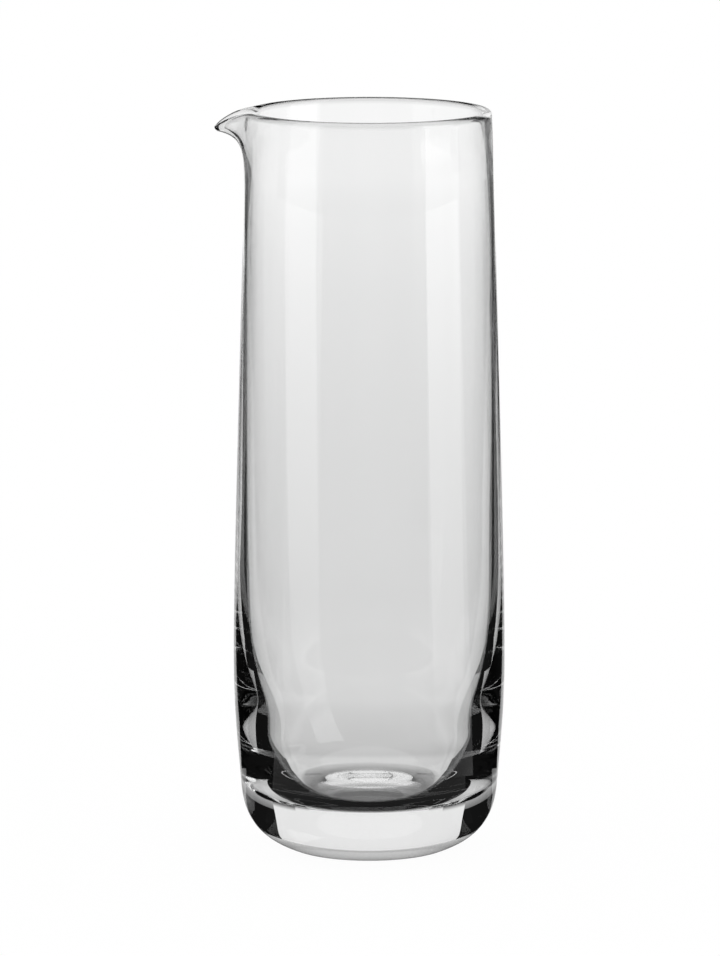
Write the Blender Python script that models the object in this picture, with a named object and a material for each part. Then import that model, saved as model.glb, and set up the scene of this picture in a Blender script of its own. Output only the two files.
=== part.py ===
"""A tall one-litre glass carafe: one blown piece with a heavy base and a pulled pouring lip.

Metres, +Z up.  The origin is the middle of the flat ring that the carafe stands on, and the lip points to -X.
"""
import bmesh
import bpy
from math import cos, exp, pi, radians, sin
from mathutils import Matrix, Vector

# Outside of the body
HEIGHT = 0.250          # table to the top of the rim
BELLY_RADIUS = 0.0458   # widest place
BELLY_HEIGHT = 0.064    # where the widest place is
MOUTH_TAPER = 0.0047    # how far the wall draws in from the belly to the rim
HEEL_TUCK = 0.0024      # how far the wall draws in from the belly to the heel
HEEL_HEIGHT = 0.0213    # where the wall starts to turn under
FOOT_RADIUS = 0.0278    # outer edge of the flat ring that it stands on
FOOT_ANGLE = radians(21.5)    # rise of the heel where it leaves the table
RING_WIDTH = 0.0023     # width of that ring, between the heel and the hollow under the base
PUNT_HEIGHT = 0.0020    # how far that hollow rises

# Inside of the body
MOUTH_WALL = 0.0021     # glass under the rim
BELLY_WALL = 0.0043     # how far the inside lies in from the belly where the bowl starts to close
BOWL_TOP = 0.097        # height where the bowl starts to close
BOWL_INSET = 0.0100     # how far the inside has drawn in from the belly at the bowl's waist
BOWL_WAIST = 0.042      # height of that waist
FLOOR_RADIUS = 0.024    # edge of the inside floor
FLOOR_HEIGHT = 0.0179   # height of that edge
FLOOR_RISE = 0.0020     # how far the floor's middle is pushed up

# Rim and pouring lip
RIM_THICKNESS = 0.0027  # glass at the fire-polished rim
RIM_CREST = 0.0016      # how far the rim's highest line lies in from the outside
RIM_ROUND_OUT = 0.0024  # height of the rim's rounding on the outside
RIM_ROUND_IN = 0.0014   # height of the rim's rounding on the inside
RIM_FADE = 0.012        # how quickly the rim's extra glass fades down the wall
LIP_REACH = 0.01025     # how far the lip's edge is pulled out
LIP_DROP = 0.00365      # how far the lip's edge is pulled down
LIP_THINNING = 0.2      # share of its thickness that the glass loses at the lip's edge
REACH_ROOT = 0.00505    # how quickly the outward pull fades down the wall
DROP_ROOT = 0.0063      # how quickly the downward pull fades down the wall
REACH_SPREAD = radians(7.25)  # how quickly the outward pull fades around the rim
DROP_SPREAD = radians(5.1)    # how quickly the downward pull fades around the rim

# Slopes of the wall, as radius per height, and lengths of its curves' handles
TAPER_SLOPE = 0.029
HEEL_SLOPE = 0.078
BORE_SLOPE = 0.052
WAIST_SLOPE = 0.15
TAPER_HANDLE = 0.110
BELLY_HANDLE_UP = 0.025
BELLY_HANDLE_DOWN = 0.018
HEEL_HANDLE_UP = 0.014
HEEL_HANDLE_DOWN = 0.012
FOOT_HANDLE = 0.0105
MOUTH_HANDLE = 0.050
BORE_HANDLE = 0.104
BOWL_HANDLE = 0.0365
WAIST_HANDLE_UP = 0.0145
WAIST_HANDLE_DOWN = 0.017
FLOOR_HANDLE = 0.003

# Facets
MERIDIANS = 84          # steps around the axis
LIP_CROWDING = 0.68     # how much the steps crowd towards the lip, 0 for evenly spaced
RIM_CROWDING = 2.2      # how much the wall's rings crowd towards the rim, 1 for evenly spaced
HEEL_STEPS = 7
BELLY_STEPS = 4
WALL_STEPS = 13
RIM_STEPS = 5
BOWL_STEPS = 6
CORNER_STEPS = 5
FLOOR_STEPS = 4
PUNT_STEPS = 4
SHARP_ANGLE = radians(20)

# Places worked out from the sizes
PUNT_RADIUS = FOOT_RADIUS - RING_WIDTH
MOUTH_RADIUS = BELLY_RADIUS - MOUTH_TAPER
HEEL_RADIUS = BELLY_RADIUS - HEEL_TUCK
BORE_RADIUS = BELLY_RADIUS - BELLY_WALL
WAIST_RADIUS = BELLY_RADIUS - BOWL_INSET
CREST_RADIUS = MOUTH_RADIUS - RIM_CREST
BRIM_HEIGHT = HEIGHT - RIM_ROUND_OUT


def clear_scene():
    """Start from an empty scene."""
    for thing in list(bpy.data.objects):
        bpy.data.objects.remove(thing, do_unlink=True)


def curve(start, leave, arrive, end, steps, crowding=1.0):
    """Points of a cubic curve after its start, crowded towards its end."""
    points = []
    for step in range(1, steps + 1):
        left = (1 - step / steps) ** crowding
        done = 1 - left
        near_start = start * left ** 3 + leave * 3 * left ** 2 * done
        near_end = arrive * 3 * left * done ** 2 + end * done ** 3
        points.append(near_start + near_end)
    return points


def swell(radius, reach, rise):
    """Height of a low rise at a radius, level in its middle and where it ends."""
    return rise * (1 - (radius / reach) ** 2) ** 2


def underside_profile():
    """The hollow under the base, from near its middle out to the flat ring."""
    points = []
    for step in range(1, PUNT_STEPS + 1):
        radius = PUNT_RADIUS * step / PUNT_STEPS
        points.append(Vector((radius, swell(radius, PUNT_RADIUS, PUNT_HEIGHT))))
    return points


def outside_profile():
    """The outer wall from the foot's edge to the side of the rim, as radius and height."""
    foot = Vector((FOOT_RADIUS, 0))
    heel = Vector((HEEL_RADIUS, HEEL_HEIGHT))
    belly = Vector((BELLY_RADIUS, BELLY_HEIGHT))
    rim = Vector((MOUTH_RADIUS, BRIM_HEIGHT))
    up = Vector((0, 1))
    foot_way = Vector((cos(FOOT_ANGLE), sin(FOOT_ANGLE)))
    heel_way = Vector((HEEL_SLOPE, 1))
    taper_way = Vector((-TAPER_SLOPE, 1))
    under = curve(foot, foot + foot_way * FOOT_HANDLE, heel - heel_way * HEEL_HANDLE_DOWN, heel, HEEL_STEPS)
    side = curve(heel, heel + heel_way * HEEL_HANDLE_UP, belly - up * BELLY_HANDLE_DOWN, belly, BELLY_STEPS)
    wall = curve(belly, belly + up * BELLY_HANDLE_UP, rim - taper_way * TAPER_HANDLE, rim,
                 WALL_STEPS, RIM_CROWDING)
    return [foot] + under + side + wall


def rim_profile():
    """The rounded top of the rim, from the outside over its crest to the inside."""
    outer = Vector((RIM_CREST, RIM_ROUND_OUT))
    inner = Vector((RIM_THICKNESS - RIM_CREST, RIM_ROUND_IN))
    points = []
    for step in range(1, 2 * RIM_STEPS + 1):
        half = outer if step <= RIM_STEPS else inner
        turn = pi / 2 * step / RIM_STEPS
        points.append(Vector((CREST_RADIUS + half.x * cos(turn), HEIGHT - half.y * (1 - sin(turn)))))
    return points


def inside_profile():
    """The inner wall from under the rim, with the rim's extra glass, down to the edge of the floor."""
    mouth = Vector((MOUTH_RADIUS - MOUTH_WALL, HEIGHT - RIM_ROUND_IN))
    bore = Vector((BORE_RADIUS, BOWL_TOP))
    waist = Vector((WAIST_RADIUS, BOWL_WAIST))
    floor = Vector((FLOOR_RADIUS, FLOOR_HEIGHT))
    up = Vector((0, 1))
    out = Vector((1, 0))
    bore_way = Vector((-BORE_SLOPE, 1))
    waist_way = Vector((WAIST_SLOPE, 1))
    wall = curve(bore, bore + up * BORE_HANDLE, mouth - bore_way * MOUTH_HANDLE, mouth,
                 WALL_STEPS, RIM_CROWDING)
    points = []
    for point in wall[-2::-1]:
        extra = (RIM_THICKNESS - MOUTH_WALL) * exp(-((mouth.y - point.y) / RIM_FADE) ** 2)
        points.append(point - out * extra)
    bowl = curve(bore, bore - up * BOWL_HANDLE, waist + waist_way * WAIST_HANDLE_UP, waist, BOWL_STEPS)
    corner = curve(waist, waist - waist_way * WAIST_HANDLE_DOWN, floor + out * FLOOR_HANDLE, floor,
                   CORNER_STEPS)
    return points + [bore] + bowl + corner


def floor_profile():
    """The inside floor from its edge to near its middle."""
    points = []
    for step in range(1, FLOOR_STEPS):
        radius = FLOOR_RADIUS * (1 - step / FLOOR_STEPS)
        points.append(Vector((radius, FLOOR_HEIGHT + swell(radius, FLOOR_RADIUS, FLOOR_RISE))))
    return points


def pull(depth, turn, root, spread):
    """How strongly the glass is pulled at a depth and an angle from the lip, and the pull's two slopes."""
    strength = exp(-depth / root - 0.5 * (turn / spread) ** 2)
    return strength, -strength / root, -strength * turn / spread ** 2


def place(point, turn):
    """Carry a profile point round to an angle from the lip.

    The sheet under the rim's crest is pulled out and down at the lip.  A point keeps its place on that sheet
    and its distance from it, less the thinning, so the glass bends as a sheet does.
    """
    depth = max(0.0, BRIM_HEIGHT - point.y)
    above = max(0.0, point.y - BRIM_HEIGHT)
    reach, reach_down, reach_round = pull(depth, turn, REACH_ROOT, REACH_SPREAD)
    drop, drop_down, drop_round = pull(depth, turn, DROP_ROOT, DROP_SPREAD)
    radius = CREST_RADIUS + LIP_REACH * reach
    sheet = Vector((radius, 0, BRIM_HEIGHT - depth - LIP_DROP * drop))
    down = Vector((LIP_REACH * reach_down, 0, -1 - LIP_DROP * drop_down))
    around = Vector((LIP_REACH * reach_round, radius, -LIP_DROP * drop_round)).normalized()
    out = down.cross(around).normalized()
    up = out.cross(around)
    thickness = 1 - LIP_THINNING * reach
    local = sheet + (out * (point.x - CREST_RADIUS) + up * above) * thickness
    return Matrix.Rotation(pi + turn, 3, "Z") @ local


def meridian_turns():
    """Angles from the lip, from -pi to pi, closer together near the lip."""
    turns = []
    for step in range(MERIDIANS):
        even = 2 * pi * step / MERIDIANS - pi
        turns.append(even - LIP_CROWDING * sin(even))
    return turns


def glass_material():
    """Clear neutral glass."""
    material = bpy.data.materials.new("clear_glass")
    material.use_nodes = True
    shader = material.node_tree.nodes["Principled BSDF"]
    shader.inputs["Base Color"].default_value = (0.97, 0.98, 0.98, 1)
    shader.inputs["Metallic"].default_value = 0.0
    shader.inputs["Roughness"].default_value = 0.02
    shader.inputs["IOR"].default_value = 1.52
    shader.inputs["Transmission Weight"].default_value = 1.0
    return material


def carafe_body():
    """The whole carafe: one closed skin lofted through its meridians and closed on its axis."""
    profile = underside_profile() + outside_profile() + rim_profile() + inside_profile() + floor_profile()
    mesh = bpy.data.meshes.new("carafe_body")
    body = bmesh.new()
    columns = [[body.verts.new(place(point, turn)) for point in profile] for turn in meridian_turns()]
    for index, column in enumerate(columns):
        following = columns[(index + 1) % MERIDIANS]
        for low in range(len(profile) - 1):
            body.faces.new((column[low], following[low], following[low + 1], column[low + 1]))
    body.faces.new([column[0] for column in columns])
    body.faces.new([column[-1] for column in columns])
    bmesh.ops.recalc_face_normals(body, faces=body.faces)
    body.to_mesh(mesh)
    body.free()
    mesh.shade_smooth()
    mesh.set_sharp_from_angle(angle=SHARP_ANGLE)
    mesh.materials.append(glass_material())
    carafe = bpy.data.objects.new("carafe_body", mesh)
    bpy.context.collection.objects.link(carafe)


clear_scene()
carafe_body()
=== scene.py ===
"""Looks of the glass carafe: a finely lofted skin of clear glass in a plain white studio, with glowing boards
that only the glass sees, as painted light and shade.
"""
from itertools import count
from math import cos, exp, pi, radians, sin

import bmesh
import bpy
from mathutils import Matrix, Vector

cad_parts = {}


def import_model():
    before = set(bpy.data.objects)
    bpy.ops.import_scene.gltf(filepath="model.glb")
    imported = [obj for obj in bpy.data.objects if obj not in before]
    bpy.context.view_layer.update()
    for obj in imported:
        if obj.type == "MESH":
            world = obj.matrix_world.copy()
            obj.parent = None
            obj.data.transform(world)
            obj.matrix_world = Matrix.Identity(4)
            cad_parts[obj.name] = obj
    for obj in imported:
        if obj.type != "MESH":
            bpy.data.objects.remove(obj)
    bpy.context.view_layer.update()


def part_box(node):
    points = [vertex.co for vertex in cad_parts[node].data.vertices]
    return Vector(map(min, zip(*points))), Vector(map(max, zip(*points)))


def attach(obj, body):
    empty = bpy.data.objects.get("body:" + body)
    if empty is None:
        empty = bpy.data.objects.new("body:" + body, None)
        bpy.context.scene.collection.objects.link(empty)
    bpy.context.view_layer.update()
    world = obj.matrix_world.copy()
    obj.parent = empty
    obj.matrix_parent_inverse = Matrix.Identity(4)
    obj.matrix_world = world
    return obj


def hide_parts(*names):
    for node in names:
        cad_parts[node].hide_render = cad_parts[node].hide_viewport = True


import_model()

node_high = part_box("carafe_body")[1]

# Outside of the body, in metres
HEIGHT = node_high.z
BELLY_RADIUS = node_high.x
BELLY_HEIGHT = 0.064
MOUTH_TAPER = 0.0047
HEEL_TUCK = 0.0024
HEEL_HEIGHT = 0.0213
FOOT_RADIUS = 0.0278
FOOT_ANGLE = radians(21.5)
RING_WIDTH = 0.0023
PUNT_HEIGHT = 0.0020

# Inside of the body
MOUTH_WALL = 0.0021
BELLY_WALL = 0.0043
BOWL_TOP = 0.097
BOWL_INSET = 0.0100
BOWL_WAIST = 0.042
FLOOR_RADIUS = 0.024
FLOOR_HEIGHT = 0.0179
FLOOR_RISE = 0.0020

# Rim and pouring lip
RIM_THICKNESS = 0.0027
RIM_CREST = 0.0016
RIM_ROUND_OUT = 0.0024
RIM_ROUND_IN = 0.0014
RIM_FADE = 0.012
LIP_REACH = 0.01025
LIP_DROP = 0.00365
LIP_THINNING = 0.2
REACH_ROOT = 0.00505
DROP_ROOT = 0.0063
REACH_SPREAD = radians(7.25)
DROP_SPREAD = radians(5.1)

# Slopes of the wall, as radius per height, and lengths of its curves' handles
TAPER_SLOPE = 0.029
HEEL_SLOPE = 0.078
WAIST_SLOPE = 0.15
BORE_SLOPE = 0.052
TAPER_HANDLE = 0.110
BELLY_HANDLE_UP = 0.025
BELLY_HANDLE_DOWN = 0.018
HEEL_HANDLE_UP = 0.014
HEEL_HANDLE_DOWN = 0.012
FOOT_HANDLE = 0.0105
BORE_HANDLE = 0.104
MOUTH_HANDLE = 0.050
BOWL_HANDLE = 0.0365
WAIST_HANDLE_UP = 0.0145
WAIST_HANDLE_DOWN = 0.017
FLOOR_HANDLE = 0.003

# Facets of the visible skin
MERIDIANS = 256
LIP_CROWDING = 0.55
RIM_CROWDING = 1.4
HEEL_STEPS = 36
BELLY_STEPS = 24
WALL_STEPS = 90
RIM_STEPS = 12
BOWL_STEPS = 30
CORNER_STEPS = 40
FLOOR_STEPS = 24
PUNT_STEPS = 24
SHARP_ANGLE = radians(12)

# Glass: colours, the fineness of its streaks per metre, and how they ripple its surface
GLASS_COLOUR = (1, 1, 1, 1)
STREAK_COLOUR = (0.985, 0.988, 0.987, 1)
GLASS_IOR = 1.52
STREAK_SCALE = 60
STREAK_SQUASH = 0.12
RIPPLE_DEPTH = 0.000004
DEPTH_COLOUR = (0.9, 0.9, 0.9, 1)
DEPTH_DENSITY = 25

# Camera, taken from the photograph's perspective
CAMERA_PLACE = (-0.0031, -2.035, 0.4747)
CAMERA_PITCH = radians(9.736)
FOCAL_PIXELS = 6136.6
IMAGE_HEIGHT = 956
SENSOR = 36.0
CLIP_END = 50

# Studio, in metres: the white floor, the dark room that the glass shows, and the boards in it.
# A light of 1 is white.
# The dark room and the boards light nothing else: what the glass shows of them is painted light and shade.
TABLE_HEIGHT = -0.0005
LAYER = 0.00003
ARC_STEPS = 24
FLOOR_HALF = 12
FLOOR_GLOW = 0.97
DARK_FLOOR_REACH = 11
DARK_FLOOR_LIGHT = 0.006
ROOM_SIZE = 9
ROOM_FOOT = -0.01
ROOM_LIGHT = 0.008
BOARD_REACH = 7.5
OVERHEAD_HEIGHT = 5
OVERHEAD_REACH = 5.6
OVERHEAD_LIGHT = 1.1

# Edges of the boards: directions in degrees to the right from straight behind the carafe, heights, distances.
# Each of the backdrop's steps has the direction where it ends and the height where its light starts to rise;
# below that height it glows dark, as painted shade.
BACKDROP_EDGE = 15
BACKDROP_STEPS = ((20, 0.25), (26, 0.45), (38.5, 0.6))
BACKDROP_RISE = 0.3
BACKDROP_TOP = 4.3
LOW_WALL_END = 84
LOW_WALL_TOP = 1.1
LAMP_END = 127
LAMP_TOP = 0.5
SIDE_WALL_TOP = 3
SIDE_FLOOR_END = 90
FLOOR_BOARD_START = 0.3
NEAR_FLOOR_END = 0.6

# The leaning softbox, a glowing board that only the glass shows, as a painted highlight: its distance, its
# foot's height, and direction and height of its foot's and head's ends
SOFTBOX_DISTANCE = 7.4
SOFTBOX_FOOT = 0.45
SOFTBOX_ENDS = ((94, SOFTBOX_FOOT), (LAMP_END, SOFTBOX_FOOT), (104, 2.6), (143, 4.5))

# Outline of the glowing sheet under the carafe, which only the glass shows, as painted light and shade: half
# width and depth of its corners, near ones the same on both sides
SHEET_FRONT = -0.016
SHEET_NEAR = ((0.018, -0.012), (0.032, 0), (0.045, 0.02), (0.058, 0.075), (0.125, 0.15), (0.163, 0.25))
SHEET_RIGHT = ((0.224, 0.48), (0.325, 0.66), (0.27, 1.03), (0.385, 1.335), (0.5, 1.9), (2, 8))
SHEET_LEFT = ((0.195, 0.37), (0.274, 0.465), (0.327, 0.656), (0.375, 1), (0.535, 1.326), (0.6, 1.9),
              (0.72, 3.3), (1.9, 8))

# How often light may meet the glass surface: from the side boards, from the overhead board, and from anywhere
SIDE_DEPTH = 7
OVERHEAD_DEPTH = 8
MOST_BOUNCES = 96

PUNT_RADIUS = FOOT_RADIUS - RING_WIDTH
MOUTH_RADIUS = BELLY_RADIUS - MOUTH_TAPER
HEEL_RADIUS = BELLY_RADIUS - HEEL_TUCK
BORE_RADIUS = BELLY_RADIUS - BELLY_WALL
WAIST_RADIUS = BELLY_RADIUS - BOWL_INSET
CREST_RADIUS = MOUTH_RADIUS - RIM_CREST
BRIM_HEIGHT = HEIGHT - RIM_ROUND_OUT


def curve(start, leave, arrive, end, steps, crowding=1.0):
    """Points of a cubic curve after its start, crowded towards its end."""
    points = []
    for step in range(1, steps + 1):
        left = (1 - step / steps) ** crowding
        done = 1 - left
        near_start = start * left ** 3 + leave * 3 * left ** 2 * done
        near_end = arrive * 3 * left * done ** 2 + end * done ** 3
        points.append(near_start + near_end)
    return points


def swell(radius, reach, rise):
    """Height of a low rise at a radius, level in its middle and where it ends."""
    return rise * (1 - (radius / reach) ** 2) ** 2


def underside_profile():
    """The hollow under the base, from near its middle out to the flat ring."""
    points = []
    for step in range(1, PUNT_STEPS + 1):
        radius = PUNT_RADIUS * step / PUNT_STEPS
        points.append(Vector((radius, swell(radius, PUNT_RADIUS, PUNT_HEIGHT))))
    return points


def outside_profile():
    """The outer wall from the foot's edge to the side of the rim, as radius and height."""
    foot = Vector((FOOT_RADIUS, 0))
    heel = Vector((HEEL_RADIUS, HEEL_HEIGHT))
    belly = Vector((BELLY_RADIUS, BELLY_HEIGHT))
    rim = Vector((MOUTH_RADIUS, BRIM_HEIGHT))
    up = Vector((0, 1))
    foot_way = Vector((cos(FOOT_ANGLE), sin(FOOT_ANGLE)))
    heel_way = Vector((HEEL_SLOPE, 1))
    taper_way = Vector((-TAPER_SLOPE, 1))
    under = curve(foot, foot + foot_way * FOOT_HANDLE, heel - heel_way * HEEL_HANDLE_DOWN, heel, HEEL_STEPS)
    side = curve(heel, heel + heel_way * HEEL_HANDLE_UP, belly - up * BELLY_HANDLE_DOWN, belly, BELLY_STEPS)
    wall = curve(belly, belly + up * BELLY_HANDLE_UP, rim - taper_way * TAPER_HANDLE, rim,
                 WALL_STEPS, RIM_CROWDING)
    return [foot] + under + side + wall


def rim_profile():
    """The rounded top of the rim, from the outside over its crest to the inside."""
    outer = Vector((RIM_CREST, RIM_ROUND_OUT))
    inner = Vector((RIM_THICKNESS - RIM_CREST, RIM_ROUND_IN))
    points = []
    for step in range(1, 2 * RIM_STEPS + 1):
        half = outer if step <= RIM_STEPS else inner
        turn = pi / 2 * step / RIM_STEPS
        points.append(Vector((CREST_RADIUS + half.x * cos(turn), HEIGHT - half.y * (1 - sin(turn)))))
    return points


def inside_profile():
    """The inner wall from under the rim, with the rim's extra glass, down to the edge of the floor."""
    mouth = Vector((MOUTH_RADIUS - MOUTH_WALL, HEIGHT - RIM_ROUND_IN))
    bore = Vector((BORE_RADIUS, BOWL_TOP))
    waist = Vector((WAIST_RADIUS, BOWL_WAIST))
    floor = Vector((FLOOR_RADIUS, FLOOR_HEIGHT))
    up = Vector((0, 1))
    out = Vector((1, 0))
    bore_way = Vector((-BORE_SLOPE, 1))
    waist_way = Vector((WAIST_SLOPE, 1))
    wall = curve(bore, bore + up * BORE_HANDLE, mouth - bore_way * MOUTH_HANDLE, mouth,
                 WALL_STEPS, RIM_CROWDING)
    points = []
    for point in wall[-2::-1]:
        extra = (RIM_THICKNESS - MOUTH_WALL) * exp(-((mouth.y - point.y) / RIM_FADE) ** 2)
        points.append(point - out * extra)
    bowl = curve(bore, bore - up * BOWL_HANDLE, waist + waist_way * WAIST_HANDLE_UP, waist, BOWL_STEPS)
    corner = curve(waist, waist - waist_way * WAIST_HANDLE_DOWN, floor + out * FLOOR_HANDLE, floor,
                   CORNER_STEPS)
    return points + [bore] + bowl + corner


def floor_profile():
    """The inside floor from its edge to near its middle."""
    points = []
    for step in range(1, FLOOR_STEPS):
        radius = FLOOR_RADIUS * (1 - step / FLOOR_STEPS)
        points.append(Vector((radius, FLOOR_HEIGHT + swell(radius, FLOOR_RADIUS, FLOOR_RISE))))
    return points


def pull(depth, turn, root, spread):
    """How strongly the glass is pulled at a depth and an angle from the lip, and the pull's two slopes."""
    strength = exp(-depth / root - 0.5 * (turn / spread) ** 2)
    return strength, -strength / root, -strength * turn / spread ** 2


def place(point, turn):
    """Carry a profile point round to an angle from the lip.

    The sheet under the rim's crest is pulled out and down at the lip.  A point keeps its place on that sheet
    and its distance from it, less the thinning, so the glass bends as a sheet does.
    """
    depth = max(0.0, BRIM_HEIGHT - point.y)
    above = max(0.0, point.y - BRIM_HEIGHT)
    reach, reach_down, reach_round = pull(depth, turn, REACH_ROOT, REACH_SPREAD)
    drop, drop_down, drop_round = pull(depth, turn, DROP_ROOT, DROP_SPREAD)
    radius = CREST_RADIUS + LIP_REACH * reach
    sheet = Vector((radius, 0, BRIM_HEIGHT - depth - LIP_DROP * drop))
    down = Vector((LIP_REACH * reach_down, 0, -1 - LIP_DROP * drop_down))
    around = Vector((LIP_REACH * reach_round, radius, -LIP_DROP * drop_round)).normalized()
    out = down.cross(around).normalized()
    up = out.cross(around)
    thickness = 1 - LIP_THINNING * reach
    local = sheet + (out * (point.x - CREST_RADIUS) + up * above) * thickness
    return Matrix.Rotation(pi + turn, 3, "Z") @ local


def meridian_turns():
    """Angles from the lip, from -pi to pi, closer together near the lip."""
    turns = []
    for step in range(MERIDIANS):
        even = 2 * pi * step / MERIDIANS - pi
        turns.append(even - LIP_CROWDING * sin(even))
    return turns


def glass_material():
    """Clear neutral glass, a little darker with depth, with faint streaks and ripples from its making."""
    material = bpy.data.materials.new("clear_glass")
    material.use_nodes = True
    nodes, links = material.node_tree.nodes, material.node_tree.links
    shader = nodes["Principled BSDF"]
    shader.inputs["Roughness"].default_value = 0.0
    shader.inputs["IOR"].default_value = GLASS_IOR
    shader.inputs["Transmission Weight"].default_value = 1.0
    spot = nodes.new("ShaderNodeTexCoord")
    stretch = nodes.new("ShaderNodeMapping")
    stretch.inputs["Scale"].default_value = (1, 1, STREAK_SQUASH)
    links.new(spot.outputs["Object"], stretch.inputs["Vector"])
    streaks = nodes.new("ShaderNodeTexNoise")
    streaks.inputs["Scale"].default_value = STREAK_SCALE
    links.new(stretch.outputs["Vector"], streaks.inputs["Vector"])
    tint = nodes.new("ShaderNodeValToRGB")
    tint.color_ramp.elements[0].color = STREAK_COLOUR
    tint.color_ramp.elements[1].color = GLASS_COLOUR
    links.new(streaks.outputs["Fac"], tint.inputs["Fac"])
    links.new(tint.outputs["Color"], shader.inputs["Base Color"])
    ripples = nodes.new("ShaderNodeBump")
    ripples.inputs["Strength"].default_value = 1.0
    ripples.inputs["Distance"].default_value = RIPPLE_DEPTH
    links.new(streaks.outputs["Fac"], ripples.inputs["Height"])
    links.new(ripples.outputs["Normal"], shader.inputs["Normal"])
    depth = nodes.new("ShaderNodeVolumeAbsorption")
    depth.inputs["Color"].default_value = DEPTH_COLOUR
    depth.inputs["Density"].default_value = DEPTH_DENSITY
    links.new(depth.outputs["Volume"], nodes["Material Output"].inputs["Volume"])
    return material


def carafe_skin():
    """The whole carafe as one closed skin."""
    profile = underside_profile() + outside_profile() + rim_profile() + inside_profile() + floor_profile()
    mesh = bpy.data.meshes.new("carafe_glass")
    body = bmesh.new()
    columns = [[body.verts.new(place(point, turn)) for point in profile] for turn in meridian_turns()]
    under_middle = body.verts.new((0, 0, PUNT_HEIGHT))
    floor_middle = body.verts.new((0, 0, FLOOR_HEIGHT + FLOOR_RISE))
    for index, column in enumerate(columns):
        following = columns[(index + 1) % MERIDIANS]
        for low in range(len(profile) - 1):
            body.faces.new((column[low], following[low], following[low + 1], column[low + 1]))
        body.faces.new((column[0], following[0], under_middle))
        body.faces.new((column[-1], following[-1], floor_middle))
    bmesh.ops.recalc_face_normals(body, faces=body.faces)
    body.to_mesh(mesh)
    body.free()
    mesh.shade_smooth()
    mesh.set_sharp_from_angle(angle=SHARP_ANGLE)
    mesh.materials.append(glass_material())
    carafe = bpy.data.objects.new("carafe_glass", mesh)
    bpy.context.collection.objects.link(carafe)
    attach(carafe, "root")
    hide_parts("carafe_body")


def camera():
    """A camera that sees the carafe as the photograph does."""
    data = bpy.data.cameras.new("camera")
    data.sensor_fit = "AUTO"
    data.sensor_width = SENSOR
    data.lens = SENSOR * FOCAL_PIXELS / IMAGE_HEIGHT
    data.clip_end = CLIP_END
    thing = bpy.data.objects.new("camera", data)
    thing.location = CAMERA_PLACE
    thing.rotation_euler = (pi / 2 - CAMERA_PITCH, 0, 0)
    bpy.context.collection.objects.link(thing)
    bpy.context.scene.camera = thing
    return thing


def turning_studio(eye):
    """The empty that carries the boards.  It turns to the camera, as if the carafe stood on a turntable."""
    thing = bpy.data.objects.new("studio", None)
    bpy.context.collection.objects.link(thing)
    track = thing.constraints.new("LOCKED_TRACK")
    track.target = eye
    track.track_axis = "TRACK_NEGATIVE_Y"
    track.lock_axis = "LOCK_Z"
    return thing


def glow_material(name, light, ramps, along, deepest):
    """Light of one level, with ramps that each add a gain between two distances or heights.

    With deepest, the light leaves out what has met the surface of the glass more often than that.
    """
    material = bpy.data.materials.new(name)
    material.use_nodes = True
    nodes, links = material.node_tree.nodes, material.node_tree.links
    nodes.clear()
    out = nodes.new("ShaderNodeOutputMaterial")
    glow = nodes.new("ShaderNodeEmission")
    links.new(glow.outputs["Emission"], out.inputs["Surface"])
    strength = glow.inputs["Strength"]
    if deepest:
        path = nodes.new("ShaderNodeLightPath")
        gate = nodes.new("ShaderNodeMath")
        gate.operation = "LESS_THAN"
        gate.inputs[1].default_value = deepest + 0.5
        links.new(path.outputs["Ray Depth"], gate.inputs[0])
        gated = nodes.new("ShaderNodeMath")
        gated.operation = "MULTIPLY"
        links.new(gate.outputs[0], gated.inputs[1])
        links.new(gated.outputs[0], strength)
        strength = gated.inputs[0]
    spot = nodes.new("ShaderNodeTexCoord")
    if along == "height":
        split = nodes.new("ShaderNodeSeparateXYZ")
        links.new(spot.outputs["Object"], split.inputs[0])
        measure = split.outputs["Z"]
    else:
        length = nodes.new("ShaderNodeVectorMath")
        length.operation = "LENGTH"
        links.new(spot.outputs["Object"], length.inputs[0])
        measure = length.outputs["Value"]
    for start, end, gain in ramps:
        grow = nodes.new("ShaderNodeMapRange")
        grow.inputs["From Min"].default_value = start
        grow.inputs["From Max"].default_value = end
        grow.inputs["To Max"].default_value = gain
        links.new(measure, grow.inputs["Value"])
        total = nodes.new("ShaderNodeMath")
        links.new(grow.outputs["Result"], total.inputs[1])
        links.new(total.outputs[0], strength)
        strength = total.inputs[0]
    strength.default_value = light
    return material


def board(name, corners, faces, light, ramps=(), along="distance", deepest=None):
    """A glowing board of the studio that only the glass sees: its glow, bright or dark, is painted light and
    shade in the glass.
    """
    mesh = bpy.data.meshes.new(name)
    mesh.from_pydata(corners, [], faces)
    mesh.materials.append(glow_material(name, light, ramps, along, deepest))
    thing = bpy.data.objects.new(name, mesh)
    bpy.context.collection.objects.link(thing)
    thing.parent = studio
    thing.visible_camera = False
    thing.visible_diffuse = False
    thing.visible_shadow = False


def strip(low_start, low_end, high_start, high_end):
    """Corners and faces of a strip round the carafe, from its ends' directions, distances and heights."""
    corners = []
    for step in range(ARC_STEPS + 1):
        for start, end in ((low_start, low_end), (high_start, high_end)):
            turn, distance, height = Vector(start).lerp(Vector(end), step / ARC_STEPS)
            corners.append((sin(radians(turn)) * distance, cos(radians(turn)) * distance, height))
    faces = [(2 * step, 2 * step + 1, 2 * step + 3, 2 * step + 2) for step in range(ARC_STEPS)]
    return corners, faces


def square(half, height):
    """Corners and face of a level square over the carafe's axis."""
    corners = [(-half, -half, height), (half, -half, height), (half, half, height), (-half, half, height)]
    return corners, [(0, 1, 2, 3)]


def level_strip(start, end, inner, outer, height):
    """A strip that lies level between two directions and two distances."""
    return strip((start, inner, height), (end, inner, height), (start, outer, height), (end, outer, height))


def layer_height():
    """Height of the next board on the floor, which lies on top of all that came before it."""
    return TABLE_HEIGHT + LAYER * next(layers)


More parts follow.
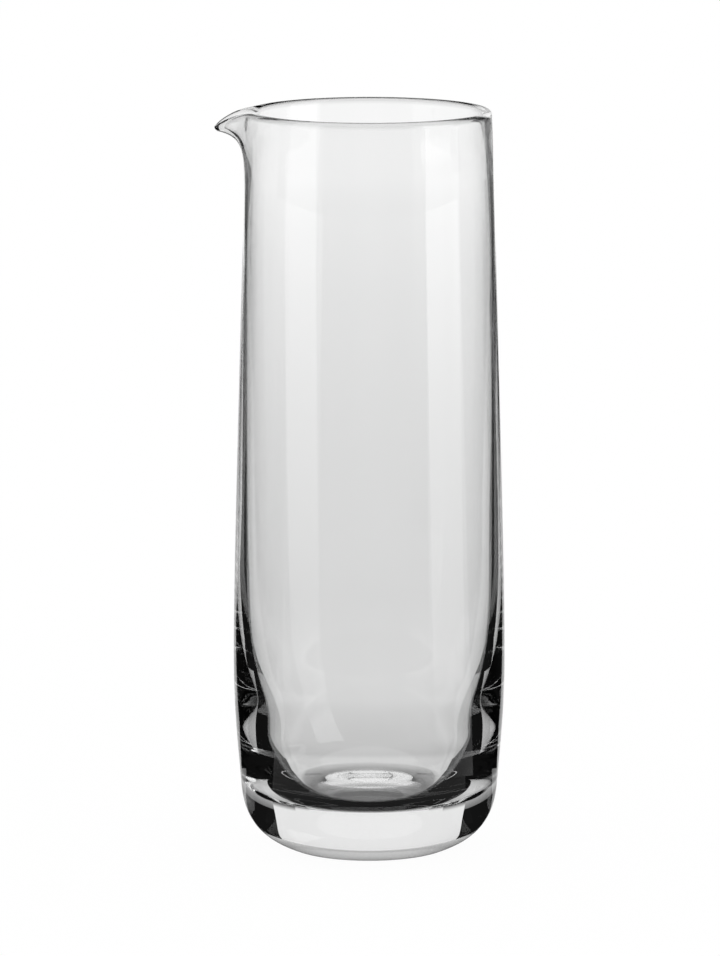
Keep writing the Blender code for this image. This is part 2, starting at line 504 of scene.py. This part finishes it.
def sector(name, start, end, inner, light, outer=BOARD_REACH, ramps=(), deepest=SIDE_DEPTH):
    """A board lying on the floor, between two directions and two distances."""
    board(name, *level_strip(start, end, inner, outer, layer_height()), light, ramps, deepest=deepest)


def wall(name, start, end, top, light, bottom=0, ramps=(), distance=BOARD_REACH, deepest=SIDE_DEPTH):
    """A board standing round the carafe, between two directions and two heights."""
    corners, faces = strip((start, distance, bottom), (end, distance, bottom),
                           (start, distance, top), (end, distance, top))
    board(name, corners, faces, light, ramps, "height", deepest)


def both_sides(make, name, start, end, left=None, **sizes):
    """A board on the right of the carafe and its mirror image on the left, which may change some sizes."""
    make(name + "_right", start=start, end=end, **sizes)
    make(name + "_left", start=-end, end=-start, **(sizes | (left or {})))


def dark_room():
    """A dark floor, wall and ceiling, which the glass shows wherever there is no board: painted shade, since
    only the glass sees them and the light all round is white.
    """
    sector("dark_floor", start=-180, end=180, inner=0, outer=DARK_FLOOR_REACH, light=DARK_FLOOR_LIGHT,
           deepest=None)
    wall("dark_wall", start=-180, end=180, bottom=ROOM_FOOT, top=ROOM_SIZE, light=ROOM_LIGHT,
         distance=ROOM_SIZE, deepest=None)
    board("ceiling", *square(ROOM_SIZE, ROOM_SIZE), ROOM_LIGHT)


def floor_boards():
    """Boards on the floor that give the lower half of the glass its greys, each on top of those before it:
    painted light and shade, most of them darker near the carafe as painted shadow.
    """
    # Levels that rise with distance from the carafe are painted shadow near it and painted fall-off of light
    # away from it.
    sector("far_floor", start=-180, end=180, inner=FLOOR_BOARD_START, light=0.02, ramps=[(0.4, 2.6, 0.68)])
    sector("back_floor", start=-62, end=62, inner=FLOOR_BOARD_START, light=0.012, ramps=[(0.9, 3, 0.6)])
    sector("middle_floor", start=-45, end=45, inner=FLOOR_BOARD_START, light=0.012, ramps=[(0.9, 3, 0.1)])
    both_sides(sector, "side_floor", start=55, end=SIDE_FLOOR_END, inner=0.5, light=0.1,
               ramps=[(0.5, 0.9, 0.3), (0.9, 3, 0.3)], left={"ramps": [(0.5, 0.9, 0.25), (0.9, 3, 0.3)]})
    both_sides(sector, "front_floor", start=LAMP_END, end=180, inner=NEAR_FLOOR_END, light=0.08,
               ramps=[(NEAR_FLOOR_END, 2.6, 0.22)])
    both_sides(sector, "near_floor", start=100, end=180, inner=0.05, outer=NEAR_FLOOR_END, light=0.02,
               ramps=[(0.08, 0.14, 0.4), (0.22, NEAR_FLOOR_END, -0.34)], deepest=None)
    # The lamp floors are painted pools of light on the floor; the left one has no lamp beside it.
    sector("lamp_floor_right", start=SIDE_FLOOR_END, end=LAMP_END, inner=0.12, light=0.45,
           ramps=[(0.12, 0.4, 0.4), (0.4, 2, 0.8)])
    sector("lamp_floor_left", start=-137, end=-103, inner=FLOOR_BOARD_START, light=0.05,
           ramps=[(FLOOR_BOARD_START, 2.2, 0.8)])
    # Two small bright patches beside the sheet: painted glints in the glass.
    both_sides(sector, "patch", start=36, end=56, inner=0.06, outer=0.125, light=0.58, deepest=None,
               left={"light": 0.54})


def sheet():
    """The sheet that the carafe stands on, which widens behind it, glowing with painted light and shade: dark
    under the carafe as painted shadow, and brighter further off as painted fall-off of light.
    """
    height = layer_height()
    outline = [(0, SHEET_FRONT, height)]
    outline += [(x, y, height) for x, y in SHEET_NEAR + SHEET_RIGHT]
    outline += [(-x, y, height) for x, y in reversed(SHEET_NEAR + SHEET_LEFT)]
    # Painted shadow under the foot, a bright band with a dip round it, then light rising with distance as
    # painted fall-off.
    ramps = [(0.022, 0.042, 0.55), (0.06, 0.068, -0.13), (0.068, 0.12, 0.18), (0.2, 0.35, -0.02),
             (0.35, 1, 0.1), (1, 2.5, 0.12), (2.5, BOARD_REACH, 0.03)]
    board("sheet", outline, [tuple(range(len(outline)))], light=0.2, ramps=ramps)


def backdrop():
    """The white backdrop, with painted shade at its foot that gets higher in steps to both sides, and low
    walls beside it whose glow fades upwards.
    """
    wall("backdrop", start=-BACKDROP_EDGE, end=BACKDROP_EDGE, top=BACKDROP_TOP, light=1.03,
         ramps=[(0.5, 1, 0.04)], deepest=None)
    start = BACKDROP_EDGE
    for end, foot in BACKDROP_STEPS:
        # Each step glows dark below its foot height: painted shade at the backdrop's foot.
        both_sides(wall, f"backdrop_to_{end}", start=start, end=end, top=BACKDROP_TOP, light=0.06,
                   ramps=[(foot, foot + BACKDROP_RISE, 1)])
        start = end
    both_sides(wall, "low_wall", start=start, end=LOW_WALL_END, top=LOW_WALL_TOP, light=0.7,
               ramps=[(0.2, LOW_WALL_TOP, -0.45)])


def side_walls():
    """Dark walls beside and in front of the carafe as painted shade, with a low glowing board on the right,
    the lamp, that only the glass shows, as painted light.
    """
    wall("left_wall", start=-180, end=-LOW_WALL_END, top=SIDE_WALL_TOP, light=0.06)
    wall("right_wall", start=LAMP_END, end=180, top=SIDE_WALL_TOP, light=0.01)
    wall("lamp", start=LOW_WALL_END, end=LAMP_END, top=LAMP_TOP, light=0.7)
    wall("over_lamp", start=LOW_WALL_END, end=LAMP_END, bottom=LAMP_TOP, top=SIDE_WALL_TOP, light=0.01)


def high_lights():
    """The overhead board, and a leaning softbox on the right that ends the left light band in a tail: glowing
    boards that only the glass shows, as painted highlights.
    """
    board("overhead", *level_strip(-180, 180, 0, OVERHEAD_REACH, OVERHEAD_HEIGHT), OVERHEAD_LIGHT,
          deepest=OVERHEAD_DEPTH)
    corners, faces = strip(*[(turn, SOFTBOX_DISTANCE, height) for turn, height in SOFTBOX_ENDS])
    board("softbox", corners, faces, light=0.45, ramps=[(0.8, 1.3, 1.35)], along="height", deepest=SIDE_DEPTH)


def floor():
    """White paper that glows for the camera and keeps a share of the carafe's shadow."""
    corners, faces = square(FLOOR_HALF, TABLE_HEIGHT)
    mesh = bpy.data.meshes.new("floor")
    mesh.from_pydata(corners, [], faces)
    material = bpy.data.materials.new("floor")
    material.use_nodes = True
    nodes, links = material.node_tree.nodes, material.node_tree.links
    nodes.clear()
    out = nodes.new("ShaderNodeOutputMaterial")
    white = nodes.new("ShaderNodeEmission")
    paper = nodes.new("ShaderNodeBsdfDiffuse")
    paper.inputs["Color"].default_value = (1, 1, 1, 1)
    mixed = nodes.new("ShaderNodeMixShader")
    mixed.inputs[0].default_value = FLOOR_GLOW
    links.new(paper.outputs[0], mixed.inputs[1])
    links.new(white.outputs[0], mixed.inputs[2])
    links.new(mixed.outputs[0], out.inputs[0])
    mesh.materials.append(material)
    thing = bpy.data.objects.new("floor", mesh)
    bpy.context.collection.objects.link(thing)


def world():
    """Even white light from all round, which lights the floor and is the white behind it."""
    thing = bpy.data.worlds.new("studio")
    bpy.context.scene.world = thing
    thing.use_nodes = True
    background = thing.node_tree.nodes["Background"]
    background.inputs["Color"].default_value = (1, 1, 1, 1)
    background.inputs["Strength"].default_value = 1.0


carafe_skin()
studio = turning_studio(camera())
layers = count(1)
floor()
world()
dark_room()
floor_boards()
sheet()
backdrop()
side_walls()
high_lights()

scene = bpy.context.scene
scene.view_settings.view_transform = "Standard"
scene.cycles.max_bounces = MOST_BOUNCES
scene.cycles.glossy_bounces = MOST_BOUNCES
scene.cycles.transmission_bounces = MOST_BOUNCES
